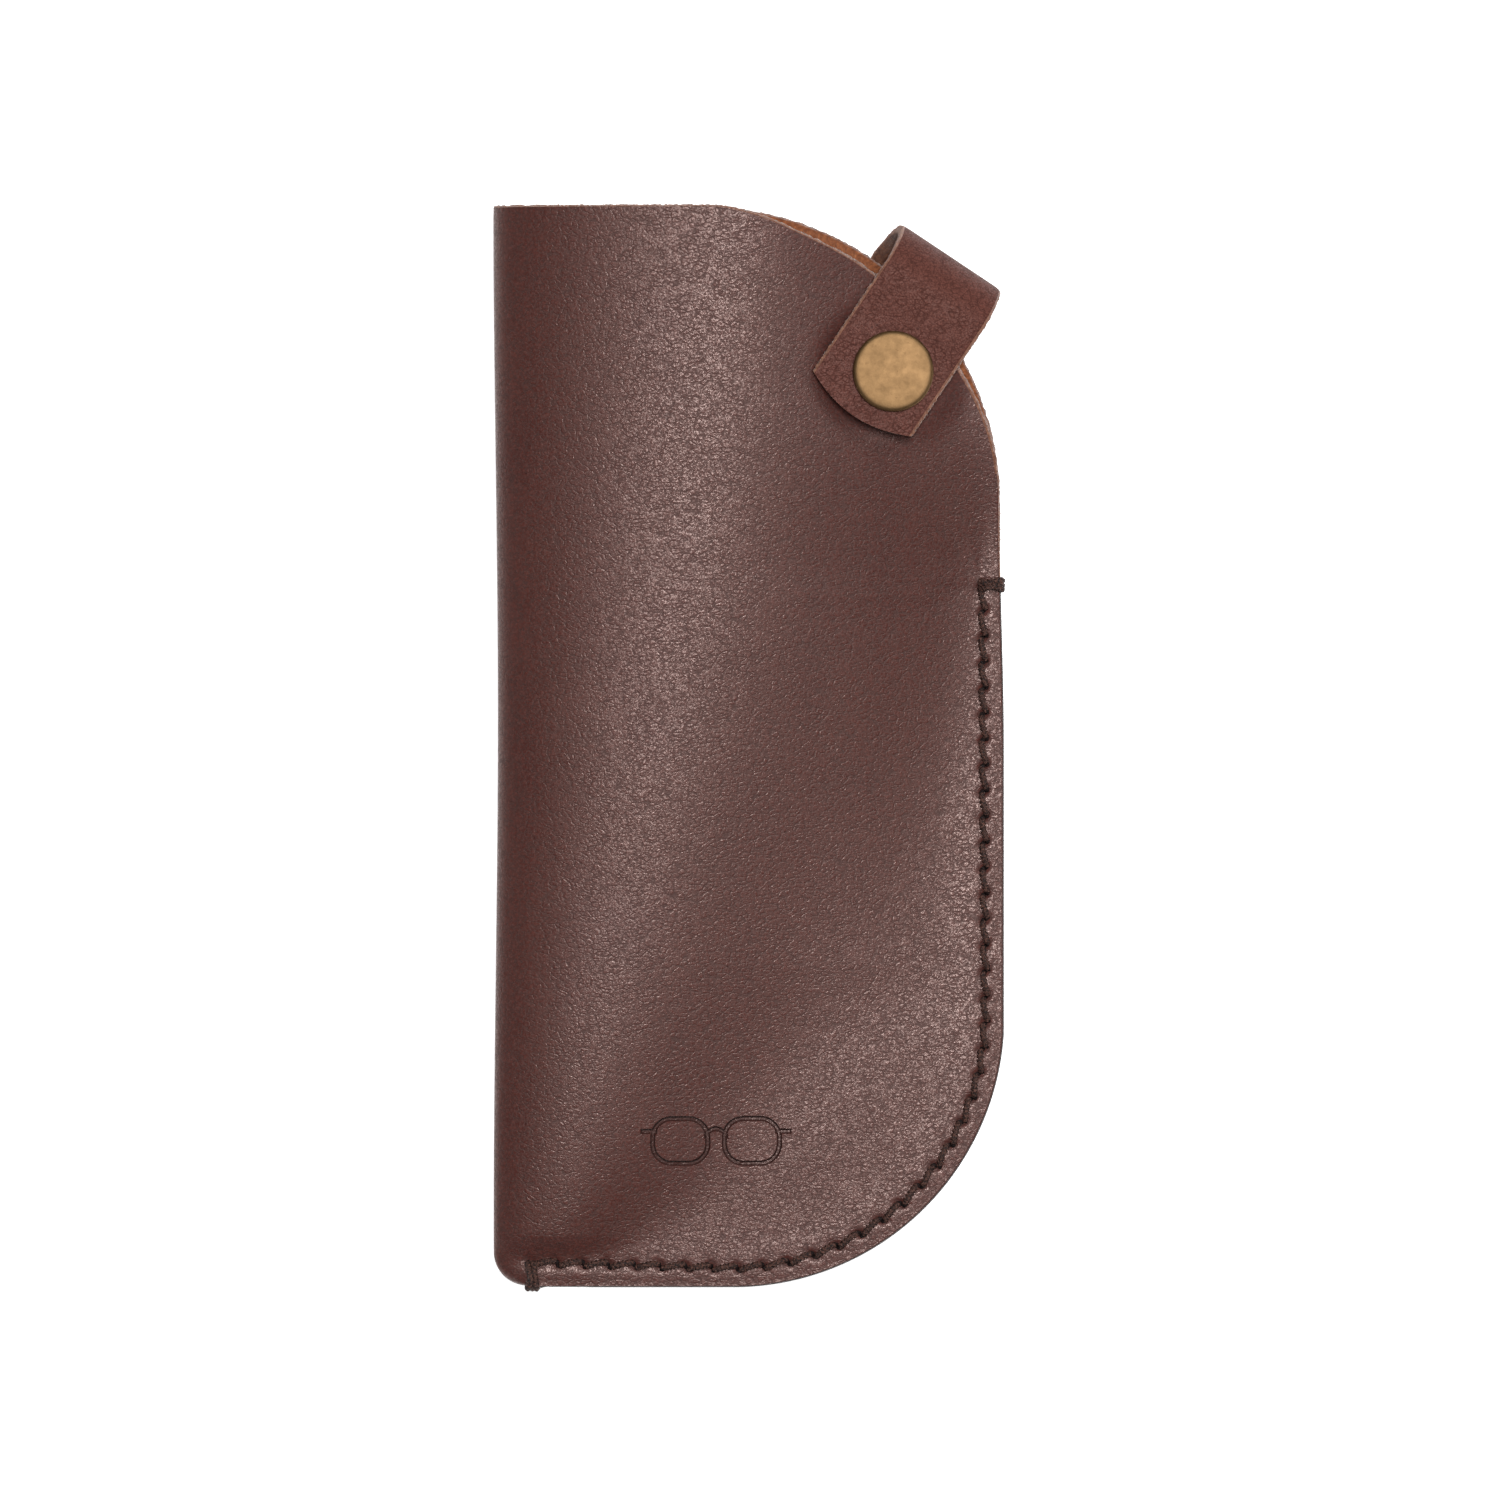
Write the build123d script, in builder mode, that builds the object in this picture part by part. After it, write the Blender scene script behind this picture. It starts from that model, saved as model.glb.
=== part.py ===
from build123d import *
from math import atan2, cos, degrees, hypot, pi, radians, sin
import os

os.makedirs("parts", exist_ok=True)

# Frame: the pouch lies on its back, +Z is its front, +Y points at the mouth. Millimetres.

# Leather and outline
LEATHER = 1.8
PARTING = 0.2
SKIM = 0.12
FOLD_X = -39.8
TOP_Y = 84.1
BOTTOM_Y = -84.4
LENGTH = TOP_Y - BOTTOM_Y
MOUTH_CORNER = (-6.9, 38.0)
MOUTH_RADIUS = 46.0
FOOT_CORNER = (-2.3, -42.2)
FOOT_RADIUS = 42.2
HEEL_RADIUS = 5.3
SEAM_TOP = 2 * LEATHER + PARTING

# Stitching
STITCH_COUNT = 39
THREAD_RADIUS = 0.4
LEG_OFFSET = 0.42
TACK_RADIUS = 0.5
MOUTH_TACK = (36.3, 25.2)
FOOT_TACK = (-33.8, -80.8)
SEAM_RADIUS = FOOT_RADIUS - 2.7

# Strap, laid out in its own vertical plane: s runs along the strap from the snap, w across it
SNAP_X = 22.6
SNAP_Y = 58.4
STRAP_ANGLE = 56.3
STRAP_WIDTH = 18.2
STRAP_SHIFT = -1.2
ROOT_Z = 1.15
ROOT_END = -12.2
TIP_END = -9.2
BEND_S = 12.9
BEND_RADIUS = 7.125
BACK_LIFT = 2.95
FLAP_Z = ROOT_Z + 2 * BEND_RADIUS - LEATHER

# Snap and rivet
STUD_SEAT_Z = 10.0
CAP_RADIUS = 6.3
RIVET_S = -3.0


def smooth(value):
    """Ease from 0 to 1 as value goes from 0 to 1."""
    value = min(max(value, 0.0), 1.0)
    return value * value * (3 - 2 * value)


def strap_coordinates(x, y):
    """Distance along and across the strap from the snap's axis."""
    along = (x - SNAP_X) * cos(radians(STRAP_ANGLE)) + (y - SNAP_Y) * sin(radians(STRAP_ANGLE))
    across = (x - SNAP_X) * sin(radians(STRAP_ANGLE)) - (y - SNAP_Y) * cos(radians(STRAP_ANGLE))
    return along, across


def back_lift(x, y):
    """How far the strap's root lifts the back panel off the table."""
    along, across = strap_coordinates(x, y)
    return BACK_LIFT * smooth((along + 34) / 19) * (1 - smooth((abs(across) - 11) / 17))


def crown_x(y):
    """Where the bulge is highest, drifting to the fold toward the foot."""
    share = min(max((y - BOTTOM_Y) / LENGTH, 0.0), 1.0)
    return -33.0 + 28.5 * share**0.8


def edge_x(y):
    """Where the cut edge runs on the right, with both corners rounded."""
    if y > MOUTH_CORNER[1]:
        return 39.1
    if y < FOOT_CORNER[1]:
        depth = min(FOOT_CORNER[1] - y, FOOT_RADIUS)
        return FOOT_CORNER[0] + (FOOT_RADIUS**2 - depth**2) ** 0.5
    return 39.9


def front_height(x, y):
    """Outer face of the front panel, right of the bulge's crown."""
    share = min(max((y - BOTTOM_Y) / LENGTH, 0.0), 1.0)
    crown = 0.35 + 13.1 * max(0.0, (share - 0.02) / 0.98) ** 0.55 * smooth((share - 0.018) / 0.03)
    shelf = 3.6 * smooth((y - 26) / 30)
    start_x = crown_x(y)
    slope_x = -33.0 + 54.0 * (min(share, 0.64) / 0.64) ** 0.72 - 5.0 * smooth((share - 0.70) / 0.15)
    end_x = max(edge_x(y) - 4.0, slope_x + 8.0)
    end_x = end_x + (38.0 - end_x) * smooth((share - 0.62) / 0.1)
    steepest = min(max((slope_x - start_x) / (end_x - start_x), 0.2), 0.85)
    bias = 1 / steepest - 1
    left_over = 1 - min(max((x - start_x) / (end_x - start_x), 0.0), 1.0)
    fall = 1 - left_over ** (bias + 1) * (bias + 2 - left_over * (bias + 1))
    height = SEAM_TOP + crown - (crown - shelf) * fall
    # The snap pulls the panel down to its own seat
    pull = smooth((15 - hypot(x - SNAP_X, y - SNAP_Y)) / 9)
    return height + (STUD_SEAT_Z - height) * pull


def panel_faces(y):
    """The folded panel's outer and inner lines at one station, from the back's free edge."""
    start_x = crown_x(y)
    top = front_height(start_x, y)
    waist = LEATHER + 0.42 * (top - 2 * LEATHER)
    heel = FOLD_X + 1.3 * waist
    outer = []
    inner = []
    for step in range(10):
        x = 46 + (heel - 46) * step / 10
        lift = back_lift(x, y)
        outer.append((x, lift - SKIM))
        inner.append((x, lift + LEATHER))
    for step in range(3):
        turn = pi / 2 * step / 3
        depth = 1.3 * waist - LEATHER
        outer.append((heel - (heel - FOLD_X) * sin(turn), (waist + SKIM) * (1 - cos(turn)) - SKIM))
        inner.append((heel - depth * sin(turn), LEATHER + (waist - LEATHER) * (1 - cos(turn))))
    for step in range(5):
        turn = pi / 2 * step / 5
        reach = 1 - cos(turn)
        rise = sin(turn)
        fold_in = FOLD_X + LEATHER
        outer.append((FOLD_X + (start_x - FOLD_X) * reach, waist + (top - waist) * rise))
        inner.append((fold_in + (start_x - fold_in) * reach, waist + (top - LEATHER - waist) * rise))
    for step in range(13):
        x = start_x + (46 - start_x) * step / 12
        height = front_height(x, y)
        outer.append((x, height))
        inner.append((x, height - LEATHER))
    return outer, inner


STATIONS = (-86, -81, -76, -68, -52, -30, -6, 14, 26, 34, 42, 48, 53, 58.4, 64, 69, 75, 86)


def strap_point(along, across, z):
    """A point given along and across the strap, in the pouch's frame."""
    angle = radians(STRAP_ANGLE)
    x = SNAP_X + along * cos(angle) + across * sin(angle)
    y = SNAP_Y + along * sin(angle) - across * cos(angle)
    return (x, y, z)


def strap_level(z):
    """Horizontal plane on the snap's axis, its X running along the strap."""
    angle = radians(STRAP_ANGLE)
    return Plane(origin=(SNAP_X, SNAP_Y, z), x_dir=(cos(angle), sin(angle), 0), z_dir=(0, 0, 1))


def strap_side(across):
    """Vertical plane through the strap, its X along the strap and its Y up."""
    angle = radians(STRAP_ANGLE)
    origin = strap_point(0, across, 0)
    return Plane(origin=origin, x_dir=(cos(angle), sin(angle), 0), z_dir=(sin(angle), -cos(angle), 0))


def dome_middle(radius, edge_z, crown_z):
    """A point halfway in along a dome whose centre is on the axis."""
    height = abs(crown_z - edge_z)
    sphere = (radius * radius + height * height) / (2 * height)
    drop = sphere - (sphere * sphere - radius * radius / 4) ** 0.5
    return (radius / 2, crown_z - drop if crown_z > edge_z else crown_z + drop)


# Seam line, shared by the holes, the groove behind them and both threads
with BuildLine() as seam_line:
    foot_run = Line(FOOT_TACK, (FOOT_CORNER[0], FOOT_CORNER[1] - SEAM_RADIUS))
    corner = CenterArc(FOOT_CORNER, SEAM_RADIUS, -90, 90)
    side_run = Line((FOOT_CORNER[0] + SEAM_RADIUS, FOOT_CORNER[1]), MOUTH_TACK)
seam_wire = Wire([foot_run.edge(), corner.edge(), side_run.edge()])
seam_length = seam_wire.length


def seam_stop(distance):
    """Point and heading on the seam a given distance from the foot tack."""
    share = min(max(distance / seam_length, 0.0), 1.0)
    point = seam_wire.position_at(share, position_mode=PositionMode.PARAMETER)
    heading = seam_wire.tangent_at(share, position_mode=PositionMode.PARAMETER)
    return point, degrees(atan2(heading.Y, heading.X))


pitch = seam_length / (STITCH_COUNT + 1)
hole_stops = [seam_stop(pitch * (index + 1)) for index in range(STITCH_COUNT)]
stitch_stops = [seam_stop(pitch * (index + 0.5)) for index in range(STITCH_COUNT + 1)]

# Pouch panel: one sheet of leather folded along its left edge
with BuildPart() as pouch_panel:
    for station in STATIONS:
        outer, inner = panel_faces(station)
        with BuildSketch(Plane(origin=(0, station, 0), x_dir=(1, 0, 0), z_dir=(0, -1, 0))):
            with BuildLine():
                Spline(*outer)
                Line(outer[-1], inner[-1])
                Spline(*inner[::-1])
                Line(inner[0], outer[0])
            make_face()
    loft(ruled=True)
    # Flat back and cut outline
    with BuildSketch(Plane.XY):
        with BuildLine():
            mouth = Line((-45, TOP_Y), (MOUTH_CORNER[0], TOP_Y))
            top_arc = Line(mouth @ 1, (MOUTH_CORNER[0], MOUTH_CORNER[1] + MOUTH_RADIUS))
            mouth_arc = CenterArc(MOUTH_CORNER, MOUTH_RADIUS, 90, -90)
            edge = Polyline(mouth_arc @ 1, (39.9, -10), (39.9, FOOT_CORNER[1]))
            foot_arc = CenterArc(FOOT_CORNER, FOOT_RADIUS, 0, -90)
            foot_edge = Line(foot_arc @ 1, (FOLD_X + HEEL_RADIUS, BOTTOM_Y))
            heel_centre = (FOLD_X + HEEL_RADIUS, BOTTOM_Y + HEEL_RADIUS)
            heel_arc = CenterArc(heel_centre, HEEL_RADIUS, -90, -90)
            Polyline(heel_arc @ 1, (-41.5, -70), (-45, -60), (-45, TOP_Y))
        make_face()
    extrude(amount=30, mode=Mode.INTERSECT)
    # The front panel's mouth edge is cut a little further back than the back's
    with BuildSketch(Plane.XY.offset(5.0)):
        with BuildLine():
            set_back = ThreePointArc((-7.5, 84.3), (20.4, 73.3), (37.9, 50.5))
            Polyline(set_back @ 1, (46, 50.5), (46, 90), (-7.5, 90), set_back @ 0)
        make_face()
    extrude(amount=20, mode=Mode.SUBTRACT)
    # Flat seats under the strap's root, the rivet's head, the stud and its eyelet
    with BuildSketch(strap_level(-1)):
        with Locations((0.3, STRAP_SHIFT * -1)):
            Rectangle(27, STRAP_WIDTH + 1)
    extrude(amount=1 + ROOT_Z + LEATHER, mode=Mode.SUBTRACT)
    with BuildSketch(strap_level(STUD_SEAT_Z)):
        Circle(5.6)
    extrude(amount=4, mode=Mode.SUBTRACT)
    with BuildSketch(strap_level(STUD_SEAT_Z - LEATHER)):
        Circle(5.2)
    extrude(amount=-2.5, mode=Mode.SUBTRACT)
    with BuildSketch(strap_level(ROOT_Z + 2 * LEATHER)):
        with Locations((RIVET_S, 0)):
            Circle(4.6)
    extrude(amount=2.0, mode=Mode.SUBTRACT)
    # Stud and rivet holes
    with BuildSketch(strap_level(STUD_SEAT_Z - LEATHER - 1)):
        Circle(1.85)
    extrude(amount=4, mode=Mode.SUBTRACT)
    with BuildSketch(strap_level(0)):
        with Locations((RIVET_S, 0)):
            Circle(1.55)
    extrude(amount=6, mode=Mode.SUBTRACT)
    # Stitch holes, and the groove that keeps the back thread flush
    with BuildSketch(Plane.XY.offset(-1)):
        for point, heading in hole_stops:
            with Locations(Location((point.X, point.Y, 0), (0, 0, heading))):
                Circle(0.9)
    extrude(amount=7, mode=Mode.SUBTRACT)
    with BuildSketch(Plane.XY.offset(-1)):
        trace(seam_line.line, 0.95)
    extrude(amount=1.95, mode=Mode.SUBTRACT)
    # Bar tack holes and the grooves where they wrap behind the edge
    with BuildSketch(Plane.XY.offset(-1)):
        with Locations(MOUTH_TACK):
            Rectangle(1.15, 2.3)
        with Locations(FOOT_TACK):
            Rectangle(2.3, 1.15)
    extrude(amount=8, mode=Mode.SUBTRACT)
    with BuildSketch(Plane.XY.offset(-1)):
        with Locations((39, MOUTH_TACK[1])):
            Rectangle(7, 2.3)
        with Locations((FOOT_TACK[0], -84)):
            Rectangle(2.3, 7.4)
    extrude(amount=2.15, mode=Mode.SUBTRACT)
    # Plain debossed pictogram of a pair of spectacles, tilted with the panel's face
    with BuildSketch(Plane(origin=(-5, -61.7, 3.5), x_dir=(1, 0, -0.025), z_dir=(0.025, 0, 1))):
        with Locations((-5.6, 0), (5.6, 0)):
            SlotOverall(9.4, 7.2)
        with Locations((-5.6, 0), (5.6, 0)):
            SlotOverall(8.2, 6.0, mode=Mode.SUBTRACT)
        with Locations((0, 1.2)):
            Rectangle(2.4, 0.6)
        with Locations((-11.2, 1.4), (11.2, 1.4)):
            Rectangle(2.6, 0.6)
    extrude(amount=3, mode=Mode.SUBTRACT)
pouch_panel.part.label = "pouch_panel"
export_step(pouch_panel.part, "parts/pouch_panel.step")

# One stitch over the front and one under the back: a bar with a leg down each hole
half_stitch = pitch / 2 - LEG_OFFSET
with BuildPart() as front_stitch:
    with BuildLine() as front_path:
        Polyline(
            (-half_stitch, 0, LEATHER + 0.15),
            (-half_stitch, 0, SEAM_TOP + THREAD_RADIUS + 0.05),
            (half_stitch, 0, SEAM_TOP + THREAD_RADIUS + 0.05),
            (half_stitch, 0, LEATHER + 0.15),
        )
    with BuildSketch(Plane(origin=(-half_stitch, 0, LEATHER + 0.15), z_dir=(0, 0, 1))):
        Circle(THREAD_RADIUS)
    sweep(path=front_path.line, transition=Transition.ROUND)

with BuildPart() as back_stitch:
    with BuildLine() as back_path:
        Polyline(
            (-half_stitch, 0, LEATHER + 0.05),
            (-half_stitch, 0, THREAD_RADIUS + 0.1),
            (half_stitch, 0, THREAD_RADIUS + 0.1),
            (half_stitch, 0, LEATHER + 0.05),
        )
    with BuildSketch(Plane(origin=(-half_stitch, 0, LEATHER + 0.05), z_dir=(0, 0, -1))):
        Circle(THREAD_RADIUS)
    sweep(path=back_path.line, transition=Transition.ROUND)

# The two rows of stitches
with BuildPart() as seam_thread_front:
    for point, heading in stitch_stops[1:-1]:
        rise = max(front_height(point.X + side, point.Y) for side in (-3, 0, 2)) - SEAM_TOP
        with Locations(Location((point.X, point.Y, rise), (0, 0, heading))):
            add(front_stitch.part)
seam_thread_front.part.label = "seam_thread_front"
export_step(seam_thread_front.part, "parts/seam_thread_front.step")

with BuildPart() as seam_thread_back:
    for point, heading in stitch_stops[1:-1]:
        with Locations(Location((point.X, point.Y, 0), (0, 0, heading))):
            add(back_stitch.part)
seam_thread_back.part.label = "seam_thread_back"
export_step(seam_thread_back.part, "parts/seam_thread_back.step")

# Bar tacks: two turns of thread wrapped round the edge at each end of the seam
tack_low = TACK_RADIUS + 0.1
mouth_tack_high = SEAM_TOP + 0.1 + TACK_RADIUS
with BuildPart() as mouth_bar_tack:
    for shift in (-0.49, 0.49):
        y = MOUTH_TACK[1] + shift
        with BuildLine() as wrap:
            Polyline(
                (38.5, y, tack_low),
                (MOUTH_TACK[0], y, tack_low),
                (MOUTH_TACK[0], y, mouth_tack_high),
                (40.35, y, mouth_tack_high),
                (40.35, y, tack_low),
                (38.5, y, tack_low),
            )
        with BuildSketch(Plane(origin=(38.5, y, tack_low), z_dir=(-1, 0, 0))):
            Circle(TACK_RADIUS)
        sweep(path=wrap.line, transition=Transition.ROUND)
mouth_bar_tack.part.label = "mouth_bar_tack"
export_step(mouth_bar_tack.part, "parts/mouth_bar_tack.step")

foot_tack_high = front_height(FOOT_TACK[0] + 1, BOTTOM_Y + 3) + 0.35 + TACK_RADIUS
with BuildPart() as foot_bar_tack:
    for shift in (-0.49, 0.49):
        x = FOOT_TACK[0] + shift
        with BuildLine() as wrap:
            Polyline(
                (x, -83, tack_low),
                (x, FOOT_TACK[1], tack_low),
                (x, FOOT_TACK[1], foot_tack_high),
                (x, BOTTOM_Y - 0.55, foot_tack_high),
                (x, BOTTOM_Y - 0.55, tack_low),
                (x, -83, tack_low),
            )
        with BuildSketch(Plane(origin=(x, -83, tack_low), z_dir=(0, 1, 0))):
            Circle(TACK_RADIUS)
        sweep(path=wrap.line, transition=Transition.ROUND)
foot_bar_tack.part.label = "foot_bar_tack"
export_step(foot_bar_tack.part, "parts/foot_bar_tack.step")

# Snap stud on the front panel, and the eyelet that holds it from inside
with BuildPart() as snap_stud:
    with BuildSketch(Plane.XZ):
        with BuildLine():
            Polyline(
                (1.85, STUD_SEAT_Z),
                (5.0, STUD_SEAT_Z),
                (5.0, STUD_SEAT_Z + 0.45),
                (4.4, STUD_SEAT_Z + 0.7),
                (2.45, STUD_SEAT_Z + 0.9),
                (2.45, STUD_SEAT_Z + 1.7),
                (2.8, STUD_SEAT_Z + 2.2),
                (2.8, STUD_SEAT_Z + 2.6),
                (2.4, STUD_SEAT_Z + 2.95),
                (1.85, STUD_SEAT_Z + 2.95),
                (1.85, STUD_SEAT_Z),
            )
        make_face()
    revolve(axis=Axis.Z)
snap_stud.part.locate(Location((SNAP_X, SNAP_Y, 0)))
snap_stud.part.label = "snap_stud"
export_step(snap_stud.part, "parts/snap_stud.step")

with BuildPart() as snap_eyelet:
    with BuildSketch(Plane.XZ):
        with BuildLine():
            Polyline(
                (1.35, STUD_SEAT_Z - LEATHER - 0.6),
                (4.5, STUD_SEAT_Z - LEATHER - 0.6),
                (4.5, STUD_SEAT_Z - LEATHER),
                (1.8, STUD_SEAT_Z - LEATHER),
                (1.8, STUD_SEAT_Z + 2.95),
                (2.2, STUD_SEAT_Z + 2.95),
                (2.0, STUD_SEAT_Z + 3.1),
                (1.35, STUD_SEAT_Z + 3.1),
                (1.35, STUD_SEAT_Z - LEATHER - 0.6),
            )
        make_face()
    revolve(axis=Axis.Z)
snap_eyelet.part.locate(Location((SNAP_X, SNAP_Y, 0)))
snap_eyelet.part.label = "snap_eyelet"
export_step(snap_eyelet.part, "parts/snap_eyelet.step")

# Strap: root on the pouch's back, a loop in three sections round the mouth's corner, and the flap
with BuildPart() as strap_root:
    with BuildSketch(strap_level(ROOT_Z)):
        with Locations(((ROOT_END + BEND_S) / 2, -STRAP_SHIFT)):
            Rectangle(BEND_S - ROOT_END, STRAP_WIDTH)
    extrude(amount=LEATHER)
    with BuildSketch(strap_level(ROOT_Z - 1)):
        with Locations((RIVET_S, 0)):
            Circle(1.55)
    extrude(amount=5, mode=Mode.SUBTRACT)
    fillet(strap_root.edges().filter_by(Axis.Z).sort_by_distance(strap_point(ROOT_END, 0, 2))[:2], 3)
strap_root.part.label = "strap_root"
export_step(strap_root.part, "parts/strap_root.step")


def bend_section(start_angle):
    """Sixty degrees of the strap's loop, from a given angle round its centre."""
    with BuildPart() as section:
        with BuildSketch(strap_side(STRAP_SHIFT - STRAP_WIDTH / 2)):
            with BuildLine():
                centre = (BEND_S, ROOT_Z + BEND_RADIUS)
                grain = CenterArc(centre, BEND_RADIUS, start_angle, 60)
                flesh = CenterArc(centre, BEND_RADIUS - LEATHER, start_angle, 60)
                Line(grain @ 0, flesh @ 0)
                Line(grain @ 1, flesh @ 1)
            make_face()
        extrude(amount=STRAP_WIDTH)
    return section.part


for name, start_angle in (("strap_bend_1", -90), ("strap_bend_2", -30), ("strap_bend_3", 30)):
    section = bend_section(start_angle)
    section.label = name
    export_step(section, "parts/" + name + ".step")

with BuildPart() as strap_flap:
    with BuildSketch(strap_level(FLAP_Z)):
        with BuildLine():
            half = STRAP_WIDTH / 2
            left = -STRAP_SHIFT - half
            right = -STRAP_SHIFT + half
            shoulder = TIP_END + 2.3
            tip = ThreePointArc((shoulder, left), (TIP_END, -STRAP_SHIFT), (shoulder, right))
            Polyline((shoulder, right), (BEND_S, right), (BEND_S, left), (shoulder, left))
        make_face()
    extrude(amount=LEATHER)
    with BuildSketch(strap_level(FLAP_Z - 1)):
        Circle(1.75)
    extrude(amount=4, mode=Mode.SUBTRACT)
strap_flap.part.label = "strap_flap"
export_step(strap_flap.part, "parts/strap_flap.step")

# Snap cap on the flap, its socket underneath, and the spring ring that grips the stud
cap_base = FLAP_Z + LEATHER
with BuildPart() as snap_cap:
    with BuildSketch(Plane.XZ):
        with BuildLine():
            Polyline(
                (0, cap_base),
                (0, FLAP_Z - 0.25),
                (1.7, FLAP_Z - 0.25),
                (1.7, cap_base),
                (CAP_RADIUS - 0.4, cap_base),
                (CAP_RADIUS, cap_base + 0.35),
                (CAP_RADIUS, cap_base + 0.6),
            )
            middle = dome_middle(CAP_RADIUS, cap_base + 0.6, cap_base + 1.7)
            dome = ThreePointArc((CAP_RADIUS, cap_base + 0.6), middle, (0, cap_base + 1.7))
            Line(dome @ 1, (0, cap_base))
        make_face()
    revolve(axis=Axis.Z)
snap_cap.part.locate(Location((SNAP_X, SNAP_Y, 0)))
snap_cap.part.label = "snap_cap"
export_step(snap_cap.part, "parts/snap_cap.step")

socket_low = FLAP_Z - 2.6
with BuildPart() as snap_socket:
    with BuildSketch(Plane.XZ):
        with BuildLine():
            Polyline(
                (3.2, socket_low),
                (5.3, socket_low),
                (5.6, socket_low + 0.4),
                (5.6, FLAP_Z),
                (1.75, FLAP_Z),
                (1.75, FLAP_Z - 0.25),
                (3.2, FLAP_Z - 0.25),
                (3.2, socket_low + 1.35),
                (3.75, socket_low + 1.35),
                (3.75, socket_low + 0.65),
                (3.2, socket_low + 0.65),
                (3.2, socket_low),
            )
        make_face()
    revolve(axis=Axis.Z)
snap_socket.part.locate(Location((SNAP_X, SNAP_Y, 0)))
snap_socket.part.label = "snap_socket"
export_step(snap_socket.part, "parts/snap_socket.step")

with BuildPart() as socket_spring:
    with BuildSketch(Plane.XZ):
        with Locations((3.4, socket_low + 1.0)):
            Circle(0.28)
    revolve(axis=Axis.Z, revolution_arc=330)
socket_spring.part.locate(Location((SNAP_X, SNAP_Y, 0)))
socket_spring.part.label = "socket_spring"
export_step(socket_spring.part, "parts/socket_spring.step")

# Rivet through the strap's root and the back panel
rivet_point = strap_point(RIVET_S, 0, 0)
with BuildPart() as rivet_post:
    with BuildSketch(Plane.XZ):
        with BuildLine():
            Polyline(
                (0, ROOT_Z + 0.05),
                (1.5, ROOT_Z + 0.05),
                (1.5, ROOT_Z + 2 * LEATHER),
                (4.0, ROOT_Z + 2 * LEATHER),
                (4.0, ROOT_Z + 2 * LEATHER + 0.3),
            )
            middle = dome_middle(4.0, ROOT_Z + 2 * LEATHER + 0.3, ROOT_Z + 2 * LEATHER + 0.9)
            dome_edge = (4.0, ROOT_Z + 2 * LEATHER + 0.3)
            dome = ThreePointArc(dome_edge, middle, (0, ROOT_Z + 2 * LEATHER + 0.9))
            Line(dome @ 1, (0, ROOT_Z + 0.05))
        make_face()
    revolve(axis=Axis.Z)
rivet_post.part.locate(Location(rivet_point))
rivet_post.part.label = "rivet_post"
export_step(rivet_post.part, "parts/rivet_post.step")

with BuildPart() as rivet_cap:
    with BuildSketch(Plane.XZ):
        with BuildLine():
            Polyline((0, ROOT_Z), (4.5, ROOT_Z), (4.5, ROOT_Z - 0.35))
            middle = dome_middle(4.5, ROOT_Z - 0.35, ROOT_Z - 1.05)
            dome = ThreePointArc((4.5, ROOT_Z - 0.35), middle, (0, ROOT_Z - 1.05))
            Line(dome @ 1, (0, ROOT_Z))
        make_face()
    revolve(axis=Axis.Z)
rivet_cap.part.locate(Location(rivet_point))
rivet_cap.part.label = "rivet_cap"
export_step(rivet_cap.part, "parts/rivet_cap.step")
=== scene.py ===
import math

import bpy
import numpy as np
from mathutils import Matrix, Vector


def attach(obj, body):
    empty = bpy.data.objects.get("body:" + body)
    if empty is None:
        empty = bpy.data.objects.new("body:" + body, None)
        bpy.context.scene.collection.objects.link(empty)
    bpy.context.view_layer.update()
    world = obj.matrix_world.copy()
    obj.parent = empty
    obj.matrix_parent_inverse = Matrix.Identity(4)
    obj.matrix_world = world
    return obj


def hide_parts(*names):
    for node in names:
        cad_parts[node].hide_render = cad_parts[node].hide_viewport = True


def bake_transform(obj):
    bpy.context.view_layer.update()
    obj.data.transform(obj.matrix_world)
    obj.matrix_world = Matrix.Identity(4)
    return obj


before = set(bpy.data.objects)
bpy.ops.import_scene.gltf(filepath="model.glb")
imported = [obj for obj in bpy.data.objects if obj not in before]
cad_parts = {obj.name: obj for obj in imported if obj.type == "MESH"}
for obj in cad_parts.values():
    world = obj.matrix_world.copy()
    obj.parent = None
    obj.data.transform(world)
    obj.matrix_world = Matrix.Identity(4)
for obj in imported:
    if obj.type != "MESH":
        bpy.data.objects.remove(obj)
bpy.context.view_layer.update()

MM = 0.001

# Leather and outline, in millimetres
LEATHER = 1.8
PARTING = 0.2
SEAM_TOP = 2 * LEATHER + PARTING
FOLD_X = -39.8
TOP_Y = 84.1
BOTTOM_Y = -84.4
LENGTH = TOP_Y - BOTTOM_Y
RIGHT_X = 39.8
MOUTH_CORNER = (-6.9, 38.1)
MOUTH_RADIUS = 46.0
FOOT_CORNER = (-2.3, -42.2)
FOOT_RADIUS = 42.2
HEEL_RADIUS = 5.3
SEAM_INSET = 2.7
MOUTH_TACK = (36.3, 25.2)
FOOT_TACK = (-33.8, -80.8)
STITCHES = 40
THREAD = 0.46
STITCH_STEPS = 18

# Bulge of the front, in millimetres. A share is a distance up the panel, from 0 at the foot to 1 at the mouth
FOOT_RISE = 0.35
CROWN_RISE = 12.5
SHELF_RISE = 3.6
SLACK_RISE = 1.1
SETTLED_SHARE = 0.64

# Strap
SNAP = (22.6, 58.4)
STRAP_ANGLE = math.radians(56.3)
STRAP_WIDTH = 18.2
STRAP_SHIFT = -1.2
ROOT_Z = 1.15
ROOT_END = -12.2
TIP_END = -9.2
BEND_S = 12.9
BEND_RADIUS = 7.125
BACK_LIFT = 2.95
STUD_SEAT_Z = 10.0
FLAP_Z = ROOT_Z + 2 * BEND_RADIUS - LEATHER
CAP_RADIUS = 6.3
SEAT_REACH = 9.5

# How far in from the fold the panel's columns are set by its curve
FOLD_WIDTH = 8.0

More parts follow.
